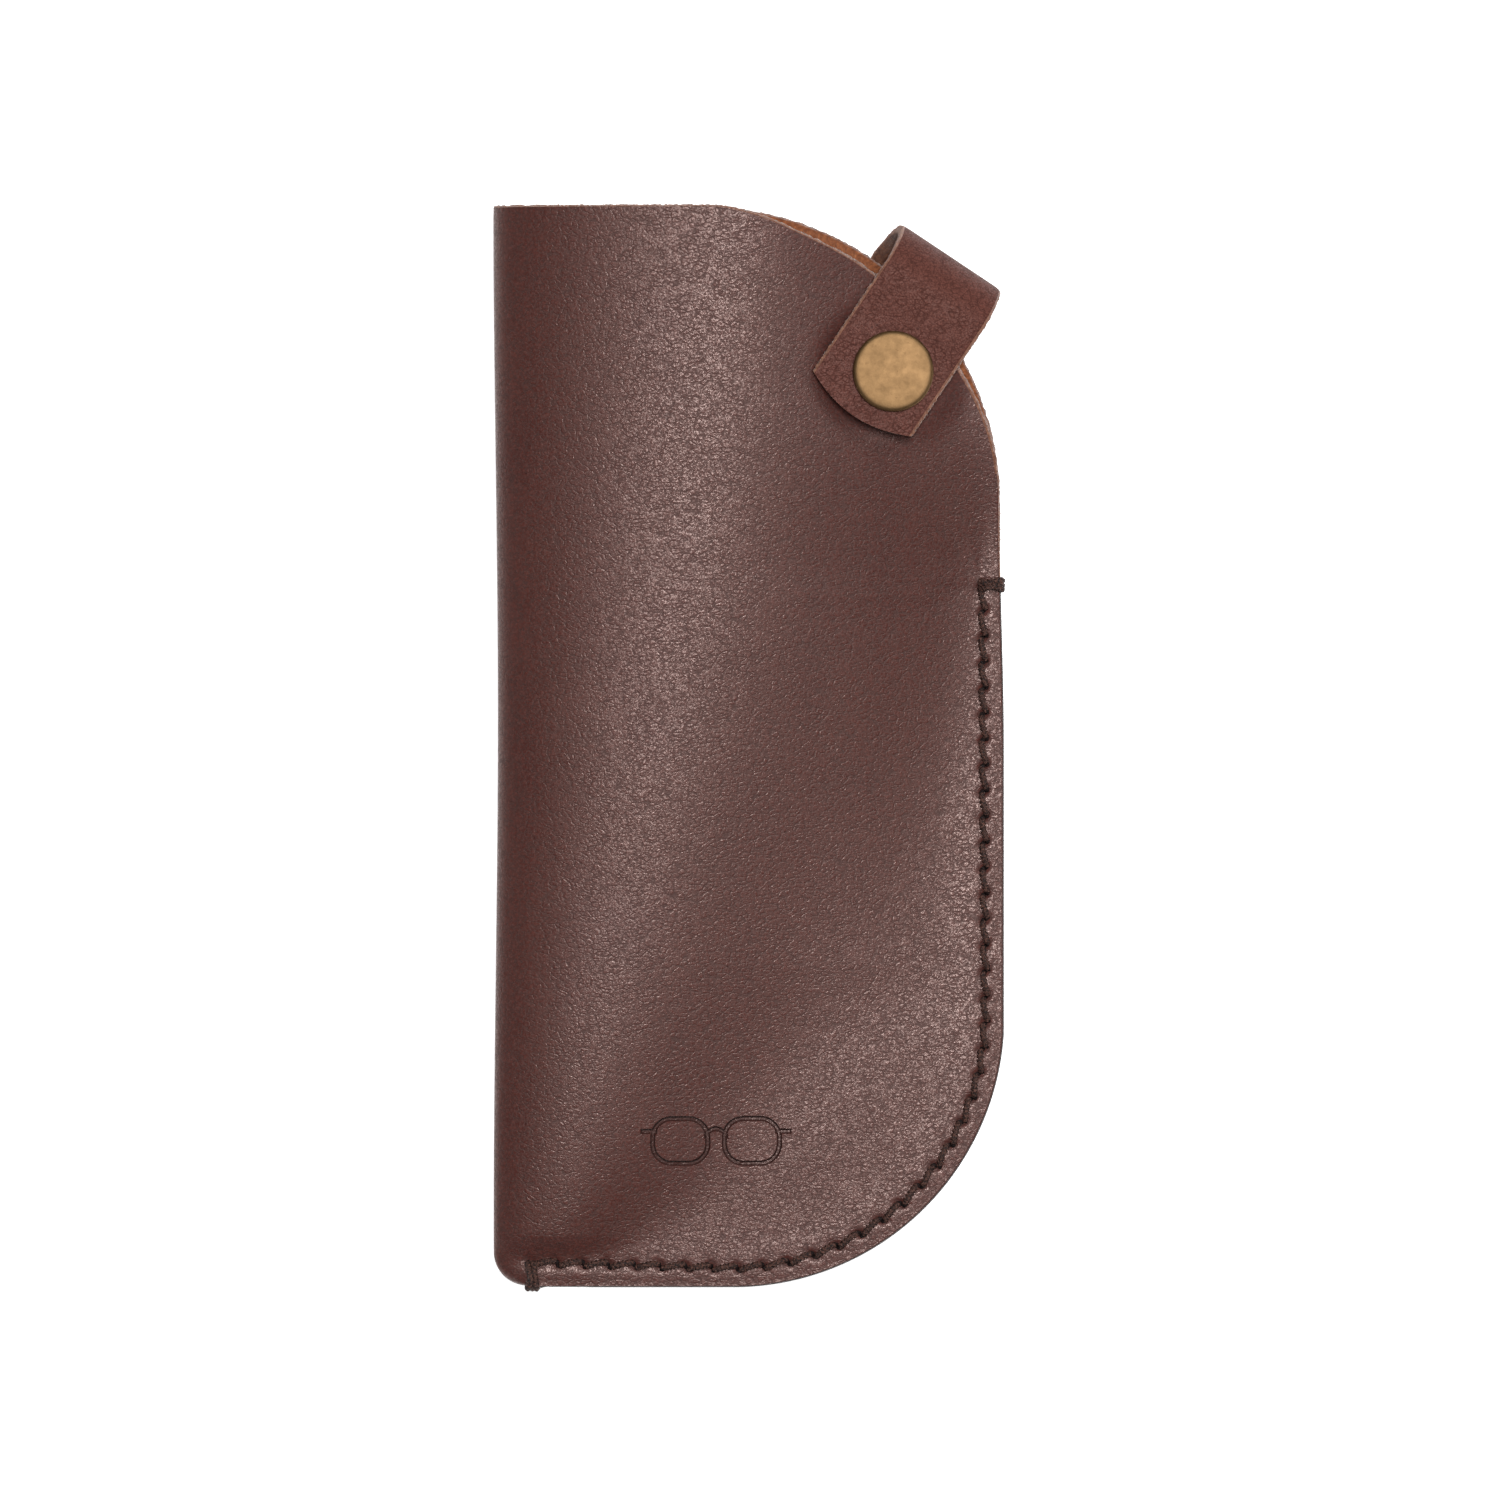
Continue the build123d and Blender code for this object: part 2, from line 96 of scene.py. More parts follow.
# Material slots of the leather pieces
ON_GRAIN, ON_FLESH, ON_RAW_EDGE, ON_BURNISHED = range(4)


# ---------------------------------------------------------------- shape of the leather
def smooth(value):
    value = np.clip(value, 0.0, 1.0)
    return value * value * (3 - 2 * value)


def hill(distance, width):
    return np.exp(-((distance / width) ** 2))


def share_up(y):
    return np.clip((y - BOTTOM_Y) / LENGTH, 0.0, 1.0)


def strap_frame(x, y):
    """Distances from the snap along the strap, towards its loop, and across it."""
    along = (x - SNAP[0]) * math.cos(STRAP_ANGLE) + (y - SNAP[1]) * math.sin(STRAP_ANGLE)
    across = (x - SNAP[0]) * math.sin(STRAP_ANGLE) - (y - SNAP[1]) * math.cos(STRAP_ANGLE)
    return along, across


def strap_point(along, across, z):
    x = SNAP[0] + along * math.cos(STRAP_ANGLE) + across * math.sin(STRAP_ANGLE)
    y = SNAP[1] + along * math.sin(STRAP_ANGLE) - across * math.cos(STRAP_ANGLE)
    return (x, y, z)


def back_lift(x, y):
    """How far the back stands off the table where the strap lies under it."""
    along, across = strap_frame(x, y)
    return BACK_LIFT * smooth((along + 34) / 19) * (1 - smooth((np.abs(across) - 11) / 17))


def crown_x(y):
    """The top of the bulge, which swings in from the fold towards the mouth."""
    return -33.0 + 31.0 * share_up(y) ** 0.76


def waist_height(top):
    """Height of the fold's leftmost point, below a bulge with its top at a given height."""
    return LEATHER + 0.42 * (top - 2 * LEATHER)


def left_x(y):
    """The fold, rounded off at the heel and bowed in a little halfway up."""
    bow = 0.7 * smooth(1 - np.abs(y - 5) / 80)
    drop = np.clip(BOTTOM_Y + HEEL_RADIUS - y, 0, HEEL_RADIUS)
    return FOLD_X + bow + HEEL_RADIUS - np.sqrt(HEEL_RADIUS**2 - drop**2)


def arc_x(y, centre, radius):
    return centre[0] + np.sqrt(np.maximum(radius**2 - (y - centre[1]) ** 2, 0))


def front_mouth_x(y):
    """The front panel's cut edge round the mouth, set back from the back panel's."""
    turn = np.linspace(0, 90, 400)
    set_back = 1.75 * smooth((turn - 5) / 36) * smooth((89 - turn) / 24)
    reach = MOUTH_RADIUS - set_back
    turn = np.radians(turn)
    return np.interp(y, MOUTH_CORNER[1] + reach * np.sin(turn), MOUTH_CORNER[0] + reach * np.cos(turn))


def right_x(y, front):
    """The cut edge on the right, with the front panel's a little further in round the mouth."""
    x = RIGHT_X - 0.7 * smooth(y / MOUTH_CORNER[1])
    mouth = front_mouth_x(y) if front else arc_x(y, MOUTH_CORNER, MOUTH_RADIUS)
    x = np.where(y > MOUTH_CORNER[1], np.minimum(mouth, x), x)
    return np.where(y < FOOT_CORNER[1], np.minimum(arc_x(y, FOOT_CORNER, FOOT_RADIUS), x), x)


def edge_inset(x, y):
    """Distance in from the sewn edge, along the foot and up the right side."""
    low = y < FOOT_CORNER[1]
    corner = FOOT_RADIUS - np.hypot(x - FOOT_CORNER[0], y - FOOT_CORNER[1])
    foot = np.where(x > FOOT_CORNER[0], corner, y - BOTTOM_Y)
    return np.where(low, foot, RIGHT_X - x)


def front_height(x, y):
    """Outer face of the front panel."""
    share = share_up(y)
    above_seam = np.maximum(0.0, (share - 0.02) / 0.98)
    crown = FOOT_RISE + CROWN_RISE * above_seam**0.55 * smooth((share - 0.018) / 0.03)
    shelf = SHELF_RISE * smooth((y - 26) / 30)
    # Where the bulge falls fastest, and where it meets the flat seam
    start_x = crown_x(y)
    slope_x = -33.0 + 56.5 * (np.minimum(share, SETTLED_SHARE) / SETTLED_SHARE) ** 0.72
    slope_x = slope_x - 3.0 * smooth((share - 0.70) / 0.15)
    end_x = np.maximum(right_x(y, False) - 4.0, slope_x + 8.0)
    end_x = end_x + (38.0 - end_x) * smooth((share - 0.62) / 0.1)
    # Near the foot there is less room, so the bulge drops away sooner
    end_x = np.minimum(end_x, slope_x + 14.0 + 75.0 * share)
    steepest = np.clip((slope_x - start_x) / (end_x - start_x), 0.2, 0.85)
    bias = 1 / steepest - 1
    left_over = 1 - np.clip((x - start_x) / (end_x - start_x), 0.0, 1.0)
    fall = 1 - left_over ** (bias + 1) * (bias + 2 - left_over * (bias + 1))
    top = SEAM_TOP + crown
    height = top - (crown - shelf) * fall
    # The sewn side isn't quite flat either: it lifts a little away from the stitches
    slack = SLACK_RISE * smooth((edge_inset(x, y) - 3.0) / 24) * (1 - smooth((y - 10) / 30))
    height = height + slack * fall
    waist = waist_height(top)
    reach = np.clip((start_x - x) / (start_x - left_x(y)), 0.0, 1.0)
    fold = waist + (top - waist) * np.sqrt(np.maximum(1 - reach**2, 0))
    # The snap pulls the panel down to its own seat
    pull = np.exp(-((np.hypot(x - SNAP[0], y - SNAP[1]) / SEAT_REACH) ** 5))
    height = height + (STUD_SEAT_Z - height) * pull
    return np.where(x < start_x, fold, height)


def back_height(x, y):
    """Outer face of the back panel."""
    waist = waist_height(front_height(crown_x(y), y))
    bend = 1.3 * waist
    reach = np.clip((left_x(y) + bend - x) / bend, 0.0, 1.0)
    return waist * (1 - np.sqrt(np.maximum(1 - reach**2, 0))) + back_lift(x, y)


# ---------------------------------------------------------------- seam
def seam_line(count):
    """Evenly spaced points and headings from the foot tack round to the mouth tack, and their spacing."""
    corner_radius = FOOT_RADIUS - SEAM_INSET
    foot = FOOT_CORNER[0] - FOOT_TACK[0]
    turn = corner_radius * math.pi / 2
    side = MOUTH_TACK[1] - FOOT_CORNER[1]
    total = foot + turn + side
    points = []
    for distance in np.linspace(0, total, count):
        if distance < foot:
            share = distance / foot
            y = FOOT_TACK[1] + (FOOT_CORNER[1] - corner_radius - FOOT_TACK[1]) * share
            points.append((FOOT_TACK[0] + distance, y, 0.0))
        elif distance < foot + turn:
            angle = (distance - foot) / corner_radius
            x = FOOT_CORNER[0] + corner_radius * math.sin(angle)
            y = FOOT_CORNER[1] - corner_radius * math.cos(angle)
            points.append((x, y, angle))
        else:
            up = distance - foot - turn
            x = FOOT_CORNER[0] + corner_radius - 0.4 * up / side
            points.append((x, FOOT_CORNER[1] + up, math.pi / 2))
    return points, total / (count - 1)


HOLES, PITCH = seam_line(STITCHES + 1)


def seam_dents(x, y):
    """How far the thread pulls the leather in, along the seam and at each hole."""
    dent = np.zeros_like(x)
    for hole_x, hole_y, angle in HOLES:
        forward = (x - hole_x) * math.cos(angle) + (y - hole_y) * math.sin(angle)
        sideways = -(x - hole_x) * math.sin(angle) + (y - hole_y) * math.cos(angle)
        slant = sideways + 0.55 * forward
        dent += 0.5 * hill(forward, 0.72) * hill(slant, 0.7)
        dent += 0.09 * hill(forward, PITCH * 0.6) * hill(sideways, 1.5)
    return np.minimum(dent, 0.7)


def tack_creases(x, y):
    """Soft folds that run into the panel from the mouth tack."""
    from_x = x - MOUTH_TACK[0]
    from_y = y - MOUTH_TACK[1]
    distance = np.hypot(from_x, from_y) + 0.01
    angle = np.degrees(np.arctan2(from_y, from_x))
    fade = np.exp(-distance / 11) * smooth(distance / 6)
    crease = 0.16 * hill(angle - 158, 17) - 0.14 * hill(angle - 132, 15)
    crease += 0.12 * hill(angle - 104, 10) - 0.12 * hill(angle + 160, 15)
    return crease * fade


# ---------------------------------------------------------------- mesh helpers
def mesh_object(name, points, faces, materials, slots=None):
    mesh = bpy.data.meshes.new(name)
    mesh.from_pydata([tuple(p) for p in np.asarray(points) * MM], [], faces)
    for material in materials:
        mesh.materials.append(material)
    if slots is not None:
        mesh.polygons.foreach_set("material_index", slots)
    mesh.polygons.foreach_set("use_smooth", [True] * len(mesh.polygons))
    mesh.update()
    piece = bpy.data.objects.new(name, mesh)
    bpy.context.collection.objects.link(piece)
    return piece


def grid_faces(rows, columns, wrap=False):
    faces = []
    for row in range(rows - 1):
        for column in range(columns if wrap else columns - 1):
            after = (column + 1) % columns
            low = row * columns
            high = low + columns
            faces.append((low + column, low + after, high + after, high + column))
    return faces


def sharpen(piece, angle):
    """Keeps corners steeper than an angle crisp under smooth shading."""
    piece.data.set_sharp_from_angle(angle=math.radians(angle))


def tube(name, path, radius, materials, sides=12, ply=0.0, turns_per_mm=0.0, dark=None):
    """A closed tube along a path.

    ply swells it into two twisted strands, and dark marks the rows that take the second material.
    """
    path = np.asarray(path, float)
    tangent = np.gradient(path, axis=0)
    tangent /= np.linalg.norm(tangent, axis=1)[:, None]
    steps = np.linalg.norm(np.diff(path, axis=0), axis=1)
    along = np.concatenate([[0], np.cumsum(steps)])
    normal = np.cross(tangent[0], (0.3, 0.2, 0.93))
    normal /= np.linalg.norm(normal)
    rings = []
    for index in range(len(path)):
        normal = normal - tangent[index] * np.dot(normal, tangent[index])
        normal /= np.linalg.norm(normal)
        other = np.cross(tangent[index], normal)
        around = np.linspace(0, 2 * np.pi, sides, endpoint=False)
        twist = 2 * np.pi * turns_per_mm * along[index]
        reach = radius * (1 + ply * (np.abs(np.cos(around - twist)) - 0.64))
        ring = path[index] + np.outer(np.cos(around) * reach, normal)
        rings.append(ring + np.outer(np.sin(around) * reach, other))
    points = np.concatenate(rings)
    faces = grid_faces(len(path), sides, wrap=True)
    last = (len(path) - 1) * sides
    slots = [int(dark is not None and dark[row]) for row in range(len(path) - 1) for _ in range(sides)]
    faces.append(tuple(range(sides))[::-1])
    faces.append(tuple(last + k for k in range(sides)))
    return mesh_object(name, points, faces, materials, slots + [0, 0])


def lathe(name, profile, centre, material, sides=128):
    """A closed solid of revolution about a vertical axis, from a profile that starts and ends on it."""
    middle = profile[1:-1]
    angles = np.linspace(0, 2 * np.pi, sides, endpoint=False)
    points = []
    for radius, z in middle:
        for angle in angles:
            points.append((centre[0] + radius * math.cos(angle), centre[1] + radius * math.sin(angle), z))
    faces = grid_faces(len(middle), sides, wrap=True)
    first = len(points)
    points.append((centre[0], centre[1], profile[0][1]))
    points.append((centre[0], centre[1], profile[-1][1]))
    last = (len(middle) - 1) * sides
    for index in range(sides):
        after = (index + 1) % sides
        faces.append((first, after, index))
        faces.append((first + 1, last + index, last + after))
    return mesh_object(name, points, faces, [material])


# ---------------------------------------------------------------- materials
class Nodes:
    """Short names for building a node material."""

    def __init__(self, name):
        self.material = bpy.data.materials.new(name)
        self.material.use_nodes = True
        self.tree = self.material.node_tree
        self.shader = self.tree.nodes["Principled BSDF"]
        self.place = self.add("ShaderNodeTexCoord").outputs["Object"]

    def add(self, kind, **settings):
        node = self.tree.nodes.new(kind)
        for key, value in settings.items():
            setattr(node, key, value)
        return node

    def link(self, source, target):
        self.tree.links.new(source, target)

    def stretched(self, scale, vector=None):
        mapping = self.add("ShaderNodeMapping")
        mapping.inputs["Scale"].default_value = scale
        self.link(vector or self.place, mapping.inputs["Vector"])
        return mapping.outputs["Vector"]

    def noise(self, scale, vector=None, detail=3.0, roughness=0.55):
        node = self.add("ShaderNodeTexNoise")
        node.inputs["Scale"].default_value = scale
        node.inputs["Detail"].default_value = detail
        node.inputs["Roughness"].default_value = roughness
        self.link(vector or self.place, node.inputs["Vector"])
        return node.outputs["Fac"]

    def cells(self, scale, vector=None, feature="DISTANCE_TO_EDGE"):
        node = self.add("ShaderNodeTexVoronoi", feature=feature)
        node.inputs["Scale"].default_value = scale
        self.link(vector or self.place, node.inputs["Vector"])
        return node.outputs["Distance"]

    def span(self, source, low, high, to_low=0.0, to_high=1.0):
        node = self.add("ShaderNodeMapRange")
        node.inputs["From Min"].default_value = low
        node.inputs["From Max"].default_value = high
        node.inputs["To Min"].default_value = to_low
        node.inputs["To Max"].default_value = to_high
        self.link(source, node.inputs["Value"])
        return node.outputs["Result"]

    def math(self, operation, first, second=0.0):
        node = self.add("ShaderNodeMath", operation=operation)
        for index, value in enumerate((first, second)):
            if isinstance(value, (int, float)):
                node.inputs[index].default_value = value
            else:
                self.link(value, node.inputs[index])
        return node.outputs["Value"]

    def mix(self, share, first, second):
        node = self.add("ShaderNodeMix", data_type="RGBA")
        for socket, value in zip((node.inputs[0], node.inputs[6], node.inputs[7]), (share, first, second)):
            if isinstance(value, (int, float)):
                socket.default_value = value
            elif isinstance(value, tuple):
                socket.default_value = (*value, 1)
            else:
                self.link(value, socket)
        return node.outputs[2]

    def bump(self, height, distance, strength=1.0, under=None):
        node = self.add("ShaderNodeBump")
        node.inputs["Strength"].default_value = strength
        node.inputs["Distance"].default_value = distance
        self.link(height, node.inputs["Height"])
        if under is not None:
            self.link(under, node.inputs["Normal"])
        return node.outputs["Normal"]

    def set(self, **values):
        names = {
            "colour": "Base Color",
            "roughness": "Roughness",
            "metallic": "Metallic",
            "specular": "Specular IOR Level",
            "sheen": "Sheen Weight",
            "sheen_roughness": "Sheen Roughness",
            "normal": "Normal",
        }
        for key, value in values.items():
            socket = self.shader.inputs[names[key]]
            if isinstance(value, (int, float)):
                socket.default_value = value
            elif isinstance(value, tuple):
                socket.default_value = (*value, 1)
            else:
                self.link(value, socket)


def pictogram(m, centre):
    """1 inside the pressed outline of a pair of spectacles, 0 outside. Centre in millimetres."""
    parts = m.add("ShaderNodeSeparateXYZ")
    m.link(m.place, parts.inputs[0])
    x = m.math("SUBTRACT", m.math("MULTIPLY", parts.outputs[0], 1000.0), centre[0])
    y = m.math("SUBTRACT", m.math("MULTIPLY", parts.outputs[1], 1000.0), centre[1])
    side = m.math("ABSOLUTE", x)
    # Each lens is a rounded box, 8.6 by 7.0 mm
    over_x = m.math("SUBTRACT", m.math("ABSOLUTE", m.math("SUBTRACT", side, 5.6)), 1.3)
    over_y = m.math("SUBTRACT", m.math("ABSOLUTE", y), 0.5)
    out_x = m.math("MAXIMUM", over_x, 0.0)
    out_y = m.math("MAXIMUM", over_y, 0.0)
    squares = m.math("ADD", m.math("MULTIPLY", out_x, out_x), m.math("MULTIPLY", out_y, out_y))
    lens = m.math("ABSOLUTE", m.math("SUBTRACT", m.math("SQRT", squares), 3.0))
    # The bridge bows up between the lenses, and a stub of each arm runs outwards
    bow = m.math("SUBTRACT", 1.9, m.math("MULTIPLY", m.math("MULTIPLY", x, x), 0.35))
    over_bow = m.math("ABSOLUTE", m.math("SUBTRACT", y, bow))
    bridge = m.math("MAXIMUM", over_bow, m.math("SUBTRACT", side, 1.5))
    arm_x = m.math("SUBTRACT", m.math("ABSOLUTE", m.math("SUBTRACT", side, 10.5)), 0.9)
    arm = m.math("MAXIMUM", m.math("ABSOLUTE", m.math("SUBTRACT", y, 1.5)), arm_x)
    line = m.math("MINIMUM", lens, m.math("MINIMUM", bridge, arm))
    wobble = m.math("MULTIPLY", m.noise(900), 0.12)
    front = m.span(parts.outputs[2], 0.0022, 0.0026)
    return m.math("MULTIPLY", m.span(m.math("ADD", line, wobble), 0.22, 0.48, 1.0, 0.0), front)


def grain_leather(name, dark, light, pebbles, specular, rough, mark=None):
    """Waxed reddish-brown grain: fine pebbles broken up by thin crossed cracks, with dark pores, painted
    shade in the pits, the cracks and the pressed mark, and a painted highlight on the pebble tops.
    """
    m = Nodes(name)
    # A little noise bends the cracks
    wander = m.add("ShaderNodeVectorMath", operation="MULTIPLY_ADD")
    drift = m.add("ShaderNodeTexNoise")
    drift.inputs["Scale"].default_value = 600
    m.link(m.place, drift.inputs["Vector"])
    m.link(drift.outputs["Color"], wander.inputs[0])
    wander.inputs[1].default_value = (0.0004, 0.0003, 0.0004)
    m.link(m.place, wander.inputs[2])
    cracks = m.span(m.cells(1300, m.stretched((0.6, 1.1, 1), wander.outputs[0])), 0.0, 0.14)
    broken = m.span(m.noise(600, detail=2), 0.34, 0.56)
    cracks = m.math("MAXIMUM", cracks, m.math("SUBTRACT", 1.0, broken))
    pebble = m.span(m.cells(2300 * pebbles, feature="SMOOTH_F1"), 0.0, 0.75, 1.0, 0.0)
    fine = m.noise(3500 * pebbles, detail=3, roughness=0.72)
    height = m.math("ADD", m.math("MULTIPLY", cracks, 0.45), m.math("MULTIPLY", pebble, 0.35))
    height = m.math("ADD", height, m.math("MULTIPLY", fine, 0.6))
    normal = m.bump(height, 0.000085, 0.62)
    pressed = pictogram(m, mark) if mark else None
    if mark:
        normal = m.bump(m.math("SUBTRACT", 1.0, pressed), 0.0006, 1.0, under=normal)
    tone = m.noise(90, m.stretched((1.5, 0.6, 1)), detail=6, roughness=0.7)
    colour = m.mix(m.span(tone, 0.3, 0.7), dark, light)
    # Darker brown for the pores, and for painted shade in the pits, the cracks and the pressed mark
    pore_and_shade_brown = tuple(c * 0.38 for c in dark)
    # Painted shade: darker where the fine noise dips, in the pits of the bump
    colour = m.mix(m.span(fine, 0.40, 0.58, 0.6, 0.0), colour, pore_and_shade_brown)
    # Painted highlight: lighter on the pebble tops
    colour = m.mix(m.span(pebble, 0.35, 0.8, 0.0, 0.4), colour, tuple(min(c * 1.6, 1.0) for c in light))
    # Painted shade: darker along the crack grooves
    colour = m.mix(m.span(cracks, 0.0, 0.8, 0.65, 0.0), colour, pore_and_shade_brown)
    pores = m.math("ADD", m.cells(620, feature="F1"), m.math("MULTIPLY", m.noise(300), 0.25))
    colour = m.mix(m.span(pores, 0.19, 0.26, 0.6, 0.0), colour, pore_and_shade_brown)
    if mark:
        # Painted shade in the pressed groove of the mark
        colour = m.mix(m.math("MULTIPLY", pressed, 0.7), colour, pore_and_shade_brown)
    # Pebble tops are polished and everything between them is matt, which makes the highlight sparkle
    polish = m.math("MULTIPLY", m.span(fine, 0.46, 0.55), m.span(cracks, 0.0, 0.7))
    matt = m.span(polish, 0.0, 1.0, rough + 0.28, rough - 0.06)
    m.set(colour=colour, roughness=matt, specular=specular, normal=normal)
    m.shader.inputs["Specular Tint"].default_value = (1.0, 0.78, 0.72, 1)
    return m.material


def suede(name, dark, light):
    """Flesh side and cut edges: short matted fibres."""
    m = Nodes(name)
    fibres = m.noise(2600, m.stretched((1, 1, 2.2)), detail=6, roughness=0.75)
    clumps = m.noise(1500, detail=4)
    colour = m.mix(m.span(clumps, 0.35, 0.65), dark, light)
    colour = m.mix(m.span(fibres, 0.4, 0.62, 0.5, 0.0), colour, tuple(c * 0.35 for c in dark))
    normal = m.bump(fibres, 0.0003, 0.9)
    m.set(colour=colour, roughness=0.92, specular=0.2, normal=normal, sheen=0.35, sheen_roughness=0.5)
    return m.material


def waxed_thread(name, dark, light):
    m = Nodes(name)
    strands = m.noise(3000, detail=3, roughness=0.7)
    colour = m.mix(m.span(strands, 0.44, 0.64), dark, light)
    normal = m.bump(strands, 0.00025, 1.0)
    m.set(colour=colour, roughness=0.6, specular=0.3, normal=normal)
    return m.material


def antique_brass(name):
    m = Nodes(name)
    stain = m.noise(420, detail=6, roughness=0.7)
    spots = m.noise(1500, detail=4, roughness=0.7)
    colour = m.mix(m.span(stain, 0.34, 0.7), (0.190, 0.113, 0.053), (0.146, 0.086, 0.040))
    colour = m.mix(m.span(spots, 0.58, 0.76, 0.0, 0.55), colour, (0.085, 0.045, 0.020))
    rough = m.span(stain, 0.3, 0.7, 0.52, 0.58)
    normal = m.bump(spots, 0.00002, 0.35)
    m.set(colour=colour, metallic=1.0, roughness=rough, normal=normal)
    return m.material


def spring_wire(name):
    m = Nodes(name)
    streak = m.noise(900, detail=3)
    colour = m.mix(streak, (0.42, 0.41, 0.40), (0.62, 0.61, 0.60))
    m.set(colour=colour, metallic=1.0, roughness=m.span(streak, 0.3, 0.7, 0.25, 0.4))
    return m.material


PANEL_BROWNS = (0.058, 0.0160, 0.0130), (0.073, 0.0224, 0.0176)
STRAP_BROWNS = (0.092, 0.029, 0.0215), (0.112, 0.038, 0.0285)
MARK = (-5.0, -61.7)
GRAIN = grain_leather("panel_grain", *PANEL_BROWNS, pebbles=1.0, specular=0.56, rough=0.335, mark=MARK)
STRAP_GRAIN = grain_leather("strap_grain", *STRAP_BROWNS, pebbles=1.3, specular=0.16, rough=0.45)
EDGE = suede("cut_edge", (0.17, 0.062, 0.034), (0.34, 0.16, 0.10))
BURNISHED = suede("burnished_edge", (0.028, 0.014, 0.011), (0.060, 0.030, 0.024))
FLESH = suede("flesh_side", (0.20, 0.058, 0.020), (0.37, 0.13, 0.050))
# The strap's flesh side is darker than the panel's: partly its own darker colour, partly painted shade for
# the inside of the loop
STRAP_FLESH_AND_SHADE = suede("strap_flesh_side_and_shade", (0.085, 0.030, 0.016), (0.17, 0.068, 0.036))
THREAD_LOOK = waxed_thread("seam_thread", (0.014, 0.006, 0.005), (0.125, 0.055, 0.040))
# Near-black copy of the thread for the rows next to each hole: painted shade of the hole
THREAD_HOLE_SHADE = waxed_thread("thread_hole_shade", (0.006, 0.002, 0.002), (0.014, 0.005, 0.004))
BRASS = antique_brass("aged_brass")
STEEL = spring_wire("spring_wire")


# ---------------------------------------------------------------- pouch panel
def row_heights():
    """Rows from foot to mouth, closer together where the outline turns."""
    foot = FOOT_CORNER[1] - FOOT_RADIUS * np.cos(np.linspace(0, np.pi / 2, 150))
    middle = np.linspace(FOOT_CORNER[1], MOUTH_CORNER[1], 230)[1:-1]
    mouth = MOUTH_CORNER[1] + MOUTH_RADIUS * np.sin(np.linspace(0, np.pi / 2, 130))
    return np.concatenate([foot, middle, mouth])


def panel_columns(left, right, folded):
    """Column places across one panel: close together at the fold and along the cut edge."""
    bend = left[:, None] + folded * (1 - np.cos(np.linspace(0, np.pi / 2, 16)))[None, :]
    start = left + folded
    edge = np.minimum(5.0, (right - start) * 0.4)
    share = np.linspace(0, 1, 96)[1:-1]
    flat = start[:, None] + (right - edge - start)[:, None] * share[None, :]
    close = (right - edge)[:, None] + edge[:, None] * np.linspace(0, 1, 20)[None, :]
    return np.concatenate([bend, flat, close], axis=1)


def unit_normals(points):
    """Normals of a grid of points, by rows and columns."""
    along = np.gradient(points, axis=0)
    across = np.gradient(points, axis=1)
    normal = np.cross(across, along)
    length = np.linalg.norm(normal, axis=2)[:, :, None]
    return normal / np.maximum(length, 1e-9)


def panel_faces_grid(y):
    """Outer and inner faces of the whole folded panel, from the back's cut edge to the front's."""
    left = left_x(y)
    front_x = panel_columns(left, right_x(y, True), FOLD_WIDTH)
    back_x = panel_columns(left, right_x(y, False), FOLD_WIDTH)[:, ::-1][:, :-1]
    front_y = np.repeat(y[:, None], front_x.shape[1], axis=1)
    back_y = np.repeat(y[:, None], back_x.shape[1], axis=1)
    plain_front_z = front_height(front_x, front_y)
    plain_back_z = back_height(back_x, back_y)
    # The sewn edge is rolled over a little
    rolled = 0.27 * (1 - smooth(edge_inset(front_x, front_y) / 2.5)) * (front_y < MOUTH_TACK[1])
    front_z = plain_front_z - seam_dents(front_x, front_y) - rolled + tack_creases(front_x, front_y)
    back_z = plain_back_z + 0.8 * seam_dents(back_x, back_y)
    x = np.concatenate([back_x, front_x], axis=1)
    yy = np.concatenate([back_y, front_y], axis=1)
    outer = np.dstack([x, yy, np.concatenate([back_z, front_z], axis=1)])
    plain = np.dstack([x, yy, np.concatenate([plain_back_z, plain_front_z], axis=1)])
    inner = plain - unit_normals(plain) * LEATHER
    # Away from the fold the inner face is measured straight down, which stays sound where rows crowd
    is_back = (np.arange(x.shape[1]) < back_x.shape[1])[None, :]
    step = 0.25
    slope = np.where(is_back, 0.0, front_height(x + step, yy) - front_height(x - step, yy)) / (2 * step)
    straight = plain[:, :, 2] + np.where(is_back, 1, -1) * LEATHER * np.sqrt(1 + slope**2)
    away = smooth((x - left[:, None] - 6) / 5)
    inner[:, :, 0] += (x - inner[:, :, 0]) * away
    inner[:, :, 1] += (yy - inner[:, :, 1]) * away
    inner[:, :, 2] += (straight - inner[:, :, 2]) * away
    # Where the fold is tight, the inner face keeps inside the outer one
    waist = waist_height(front_height(crown_x(y), y))[:, None]
    inner[:, :, 0] = np.maximum(inner[:, :, 0], (left + LEATHER)[:, None])
    z = inner[:, :, 2]
    held = np.where(is_back, np.minimum(z, waist - 0.05), np.maximum(z, waist + 0.05))
    inner[:, :, 2] = np.where(x < left[:, None] + 6, held, z)
    return outer, inner


def rim(rows, columns):
    """Indices once round the border of a grid."""
    ring = [row * columns for row in range(rows)]
    ring += [(rows - 1) * columns + column for column in range(1, columns)]
    ring += [row * columns + columns - 1 for row in range(rows - 2, -1, -1)]
    ring += [column for column in range(columns - 2, 0, -1)]
    return ring


def rim_directions(points, ring, rows, columns):
    """Unit vectors that point out of the panel, flat, at each place on its rim."""
    outward = []
    for index in ring:
        row, column = divmod(index, columns)
        push = np.zeros(3)
        if row == rows - 1:
            push += (0, 1, 0)
        if row == 0:
            push += (0, -1, 0)
        if column in (0, columns - 1):
            above = points[min(row + 1, rows - 1) * columns + column]
            below = points[max(row - 1, 0) * columns + column]
            step = above - below
            push += (step[1], -step[0], 0) / max(np.hypot(step[0], step[1]), 1e-6)
        outward.append(push / max(np.linalg.norm(push), 1e-6))
    return np.array(outward)


